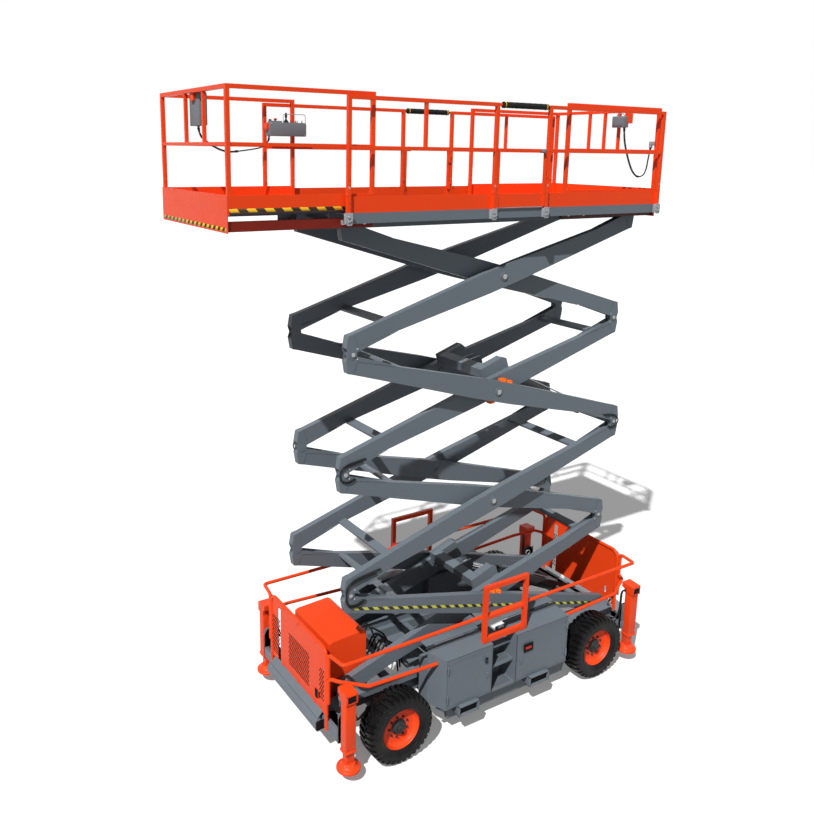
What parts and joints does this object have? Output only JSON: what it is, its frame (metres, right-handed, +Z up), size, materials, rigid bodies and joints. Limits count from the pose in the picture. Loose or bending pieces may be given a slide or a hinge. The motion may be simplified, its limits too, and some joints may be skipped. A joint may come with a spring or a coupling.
{
  "type": "rough-terrain scissor lift",
  "caption": "Orange and grey rough-terrain scissor lift, partly raised, with roll-out decks, outriggers, side cabinets and swing gates.",
  "frame": {"origin": "point on the ground on the centreline, midway between the axles", "axes": "+X towards the rear, the end with the fixed scissor pivots; +Y towards the machine's right; +Z up"},
  "size_m": [5.69, 2.304, 7.2279],
  "materials": {
    "orange paint": "gloss orange-red paint",
    "grey paint": "satin mid-grey paint",
    "black paint": "satin black paint",
    "tyre rubber": "matt black rubber",
    "chrome": "polished chrome",
    "cast iron": "bare cast iron",
    "light grey box": "matt grey moulded housing",
    "black cord": "black rubber sheath",
    "black foam": "matt black padding with yellow ends"
  },
  "bodies": {
    "chassis": {"chassis_frame": "grey paint", "front_axle": "black paint", "rear_axle": "black paint", "outrigger_housings": "orange paint", "front_guard": "orange paint", "rear_guard": "orange paint", "base_rails": "orange paint", "entry_frames": "orange paint", "front_bumper": "grey paint", "hood_box": "orange paint", "left_cabinets": "grey paint", "right_cabinets": "grey paint", "fork_pockets": "grey paint", "engine_block": "cast iron", "oil_tank": "black paint"},
    "outer_arms_1": {"outer_arms_1": "grey paint"},
    "inner_arms_1": {"inner_arms_1": "grey paint"},
    "outer_arms_2": {"outer_arms_2": "grey paint"},
    "inner_arms_2": {"inner_arms_2": "grey paint"},
    "outer_arms_3": {"outer_arms_3": "grey paint"},
    "inner_arms_3": {"inner_arms_3": "grey paint"},
    "outer_arms_4": {"outer_arms_4": "grey paint"},
    "inner_arms_4": {"inner_arms_4": "grey paint"},
    "lower_cylinder_barrel": {"lower_cylinder_barrel": "black paint"},
    "lower_cylinder_rod": {"lower_cylinder_rod": "chrome"},
    "upper_cylinder_barrel": {"upper_cylinder_barrel": "black paint"},
    "upper_cylinder_rod": {"upper_cylinder_rod": "chrome"},
    "front_left_wheel": {"front_left_tyre": "tyre rubber", "front_left_rim": "orange paint"},
    "front_left_outrigger": {"front_left_leg": "orange paint"},
    "front_right_wheel": {"front_right_tyre": "tyre rubber", "front_right_rim": "orange paint"},
    "front_right_outrigger": {"front_right_leg": "orange paint"},
    "rear_left_wheel": {"rear_left_tyre": "tyre rubber", "rear_left_rim": "orange paint"},
    "rear_left_outrigger": {"rear_left_leg": "orange paint"},
    "rear_right_wheel": {"rear_right_tyre": "tyre rubber", "rear_right_rim": "orange paint"},
    "rear_right_outrigger": {"rear_right_leg": "orange paint"},
    "left_knuckle_body": {"left_knuckle": "black paint"},
    "right_knuckle_body": {"right_knuckle": "black paint"},
    "left_front_door": {"left_front_door": "grey paint"},
    "right_front_door": {"right_front_door": "grey paint"},
    "left_rear_door": {"left_rear_door": "grey paint"},
    "right_rear_door": {"right_rear_door": "grey paint"},
    "platform": {"platform_frame": "grey paint", "toe_boards": "orange paint", "left_guard_rail": "orange paint", "right_guard_rail": "orange paint"},
    "front_deck_body": {"front_deck": "orange paint", "front_deck_rail": "orange paint", "control_box": "light grey box", "control_cable": "black cord"},
    "rear_deck_body": {"rear_deck": "orange paint", "rear_deck_rail": "orange paint", "outlet_hose": "black cord"},
    "left_gate_body": {"left_gate": "orange paint"},
    "left_gate_bar_body": {"left_gate_bar": "black foam"},
    "right_gate_body": {"right_gate": "orange paint"},
    "right_gate_bar_body": {"right_gate_bar": "black foam"}
  },
  "joints": [
    {"name": "scissor_lift", "type": "hinge", "parent": "chassis", "child": "outer_arms_1", "pos_m": [1.984, 0, 0.614], "axis": [0, 1, 0], "range_deg": [-14.4, 41.7]},
    {"name": "outer_arms_2_turn", "type": "hinge", "parent": "outer_arms_1", "child": "outer_arms_2", "pos_m": [-1.959, 0, 1.961], "axis": [0, 1, 0], "range_deg": [-83.45, 28.85]},
    {"name": "outer_arms_3_turn", "type": "hinge", "parent": "outer_arms_2", "child": "outer_arms_3", "pos_m": [1.984, 0, 3.308], "axis": [0, 1, 0], "range_deg": [-28.85, 83.45]},
    {"name": "outer_arms_4_turn", "type": "hinge", "parent": "outer_arms_3", "child": "outer_arms_4", "pos_m": [-1.959, 0, 4.655], "axis": [0, 1, 0], "range_deg": [-83.45, 28.85]},
    {"name": "platform_turn", "type": "hinge", "parent": "outer_arms_4", "child": "platform", "pos_m": [1.984, 0, 6.002], "axis": [0, 1, 0], "range_deg": [-14.45, 41.75]},
    {"name": "inner_arms_1_turn", "type": "hinge", "parent": "outer_arms_1", "child": "inner_arms_1", "pos_m": [0.0125, 0, 1.2875], "axis": [0, 1, 0], "range_deg": [-83.45, 28.85]},
    {"name": "inner_arms_2_turn", "type": "hinge", "parent": "outer_arms_2", "child": "inner_arms_2", "pos_m": [0.0125, 0, 2.6345], "axis": [0, 1, 0], "range_deg": [-28.85, 83.45]},
    {"name": "inner_arms_3_turn", "type": "hinge", "parent": "outer_arms_3", "child": "inner_arms_3", "pos_m": [0.0125, 0, 3.9815], "axis": [0, 1, 0], "range_deg": [-83.45, 28.85]},
    {"name": "inner_arms_4_turn", "type": "hinge", "parent": "outer_arms_4", "child": "inner_arms_4", "pos_m": [0.0125, 0, 5.3285], "axis": [0, 1, 0], "range_deg": [-28.85, 83.45]},
    {"name": "lower_cylinder_turn", "type": "hinge", "parent": "chassis", "child": "lower_cylinder_barrel", "pos_m": [1.984, 0, 0.614], "axis": [0, 1, 0], "range_deg": [-13.95, 40.29]},
    {"name": "upper_cylinder_turn", "type": "hinge", "parent": "outer_arms_3", "child": "upper_cylinder_barrel", "pos_m": [1.984, 0, 3.308], "axis": [0, 1, 0], "range_deg": [-1.51, 0.55]},
    {"name": "lower_cylinder_stroke", "type": "slide", "parent": "lower_cylinder_barrel", "child": "lower_cylinder_rod", "axis": [-0.9034, 0, 0.4289], "range_m": [-0.1053, 0.304]},
    {"name": "upper_cylinder_stroke", "type": "slide", "parent": "upper_cylinder_barrel", "child": "upper_cylinder_rod", "axis": [-0.9034, 0, 0.4289], "range_m": [-0.1053, 0.304]},
    {"name": "front_left_wheel_spin", "type": "hinge", "parent": "left_knuckle_body", "child": "front_left_wheel", "pos_m": [-1.534, -0.976, 0.414], "axis": [0, 1, 0], "continuous": true},
    {"name": "front_left_outrigger_slide", "type": "slide", "parent": "chassis", "child": "front_left_outrigger", "axis": [0, 0, -1], "range_m": [0, 0.35]},
    {"name": "front_right_wheel_spin", "type": "hinge", "parent": "right_knuckle_body", "child": "front_right_wheel", "pos_m": [-1.534, 0.976, 0.414], "axis": [0, 1, 0], "continuous": true},
    {"name": "front_right_outrigger_slide", "type": "slide", "parent": "chassis", "child": "front_right_outrigger", "axis": [0, 0, -1], "range_m": [0, 0.35]},
    {"name": "rear_left_wheel_spin", "type": "hinge", "parent": "chassis", "child": "rear_left_wheel", "pos_m": [1.534, -0.976, 0.414], "axis": [0, 1, 0], "continuous": true},
    {"name": "rear_left_outrigger_slide", "type": "slide", "parent": "chassis", "child": "rear_left_outrigger", "axis": [0, 0, -1], "range_m": [0, 0.35]},
    {"name": "rear_right_wheel_spin", "type": "hinge", "parent": "chassis", "child": "rear_right_wheel", "pos_m": [1.534, 0.976, 0.414], "axis": [0, 1, 0], "continuous": true},
    {"name": "rear_right_outrigger_slide", "type": "slide", "parent": "chassis", "child": "rear_right_outrigger", "axis": [0, 0, -1], "range_m": [0, 0.35]},
    {"name": "steering", "type": "hinge", "parent": "chassis", "child": "left_knuckle_body", "pos_m": [-1.534, -0.85, 0.414], "axis": [0, 0, 1], "range_deg": [-28, 28]},
    {"name": "right_steering", "type": "hinge", "parent": "chassis", "child": "right_knuckle_body", "pos_m": [-1.534, 0.85, 0.414], "axis": [0, 0, 1], "range_deg": [-28, 28]},
    {"name": "left_front_door_hinge", "type": "hinge", "parent": "chassis", "child": "left_front_door", "pos_m": [-0.923, -1.1083, 0.75], "axis": [0, 0, -1], "range_deg": [0, 100]},
    {"name": "right_front_door_hinge", "type": "hinge", "parent": "chassis", "child": "right_front_door", "pos_m": [-0.923, 1.1083, 0.75], "axis": [0, 0, 1], "range_deg": [0, 100]},
    {"name": "left_rear_door_hinge", "type": "hinge", "parent": "chassis", "child": "left_rear_door", "pos_m": [0.932, -1.1083, 0.75], "axis": [0, 0, 1], "range_deg": [0, 100]},
    {"name": "right_rear_door_hinge", "type": "hinge", "parent": "chassis", "child": "right_rear_door", "pos_m": [0.932, 1.1083, 0.75], "axis": [0, 0, -1], "range_deg": [0, 100]},
    {"name": "front_deck_slide", "type": "slide", "parent": "platform", "child": "front_deck_body", "axis": [1, 0, 0], "range_m": [0, 1.16]},
    {"name": "rear_deck_slide", "type": "slide", "parent": "platform", "child": "rear_deck_body", "axis": [1, 0, 0], "range_m": [0, 1.16]},
    {"name": "left_gate_hinge", "type": "hinge", "parent": "platform", "child": "left_gate_body", "pos_m": [-0.382, -0.893, 6.4], "axis": [0, 0, 1], "range_deg": [0, 90]},
    {"name": "left_gate_bar_lift", "type": "hinge", "parent": "platform", "child": "left_gate_bar_body", "pos_m": [-0.374, -0.92, 7.167], "axis": [0, -1, 0], "range_deg": [0, 90]},
    {"name": "right_gate_hinge", "type": "hinge", "parent": "platform", "child": "right_gate_body", "pos_m": [0.382, 0.893, 6.4], "axis": [0, 0, 1], "range_deg": [0, 90]},
    {"name": "right_gate_bar_lift", "type": "hinge", "parent": "platform", "child": "right_gate_bar_body", "pos_m": [0.374, 0.92, 7.167], "axis": [0, 1, 0], "range_deg": [0, 90]}
  ],
  "couplings": [
    {"joint": "outer_arms_2_turn", "follows": "scissor_lift", "ratio": -2},
    {"joint": "outer_arms_3_turn", "follows": "scissor_lift", "ratio": 2},
    {"joint": "outer_arms_4_turn", "follows": "scissor_lift", "ratio": -2},
    {"joint": "platform_turn", "follows": "scissor_lift", "ratio": 1},
    {"joint": "inner_arms_1_turn", "follows": "scissor_lift", "ratio": -2},
    {"joint": "inner_arms_2_turn", "follows": "scissor_lift", "ratio": 2},
    {"joint": "inner_arms_3_turn", "follows": "scissor_lift", "ratio": -2},
    {"joint": "inner_arms_4_turn", "follows": "scissor_lift", "ratio": 2},
    {"joint": "lower_cylinder_turn", "follows": "scissor_lift", "ratio": 0.965},
    {"joint": "upper_cylinder_turn", "follows": "scissor_lift", "ratio": -0.035},
    {"joint": "lower_cylinder_stroke", "follows": "scissor_lift", "m_per_rad": 0.417},
    {"joint": "upper_cylinder_stroke", "follows": "scissor_lift", "m_per_rad": 0.417},
    {"joint": "right_steering", "follows": "steering", "ratio": 1}
  ]
}
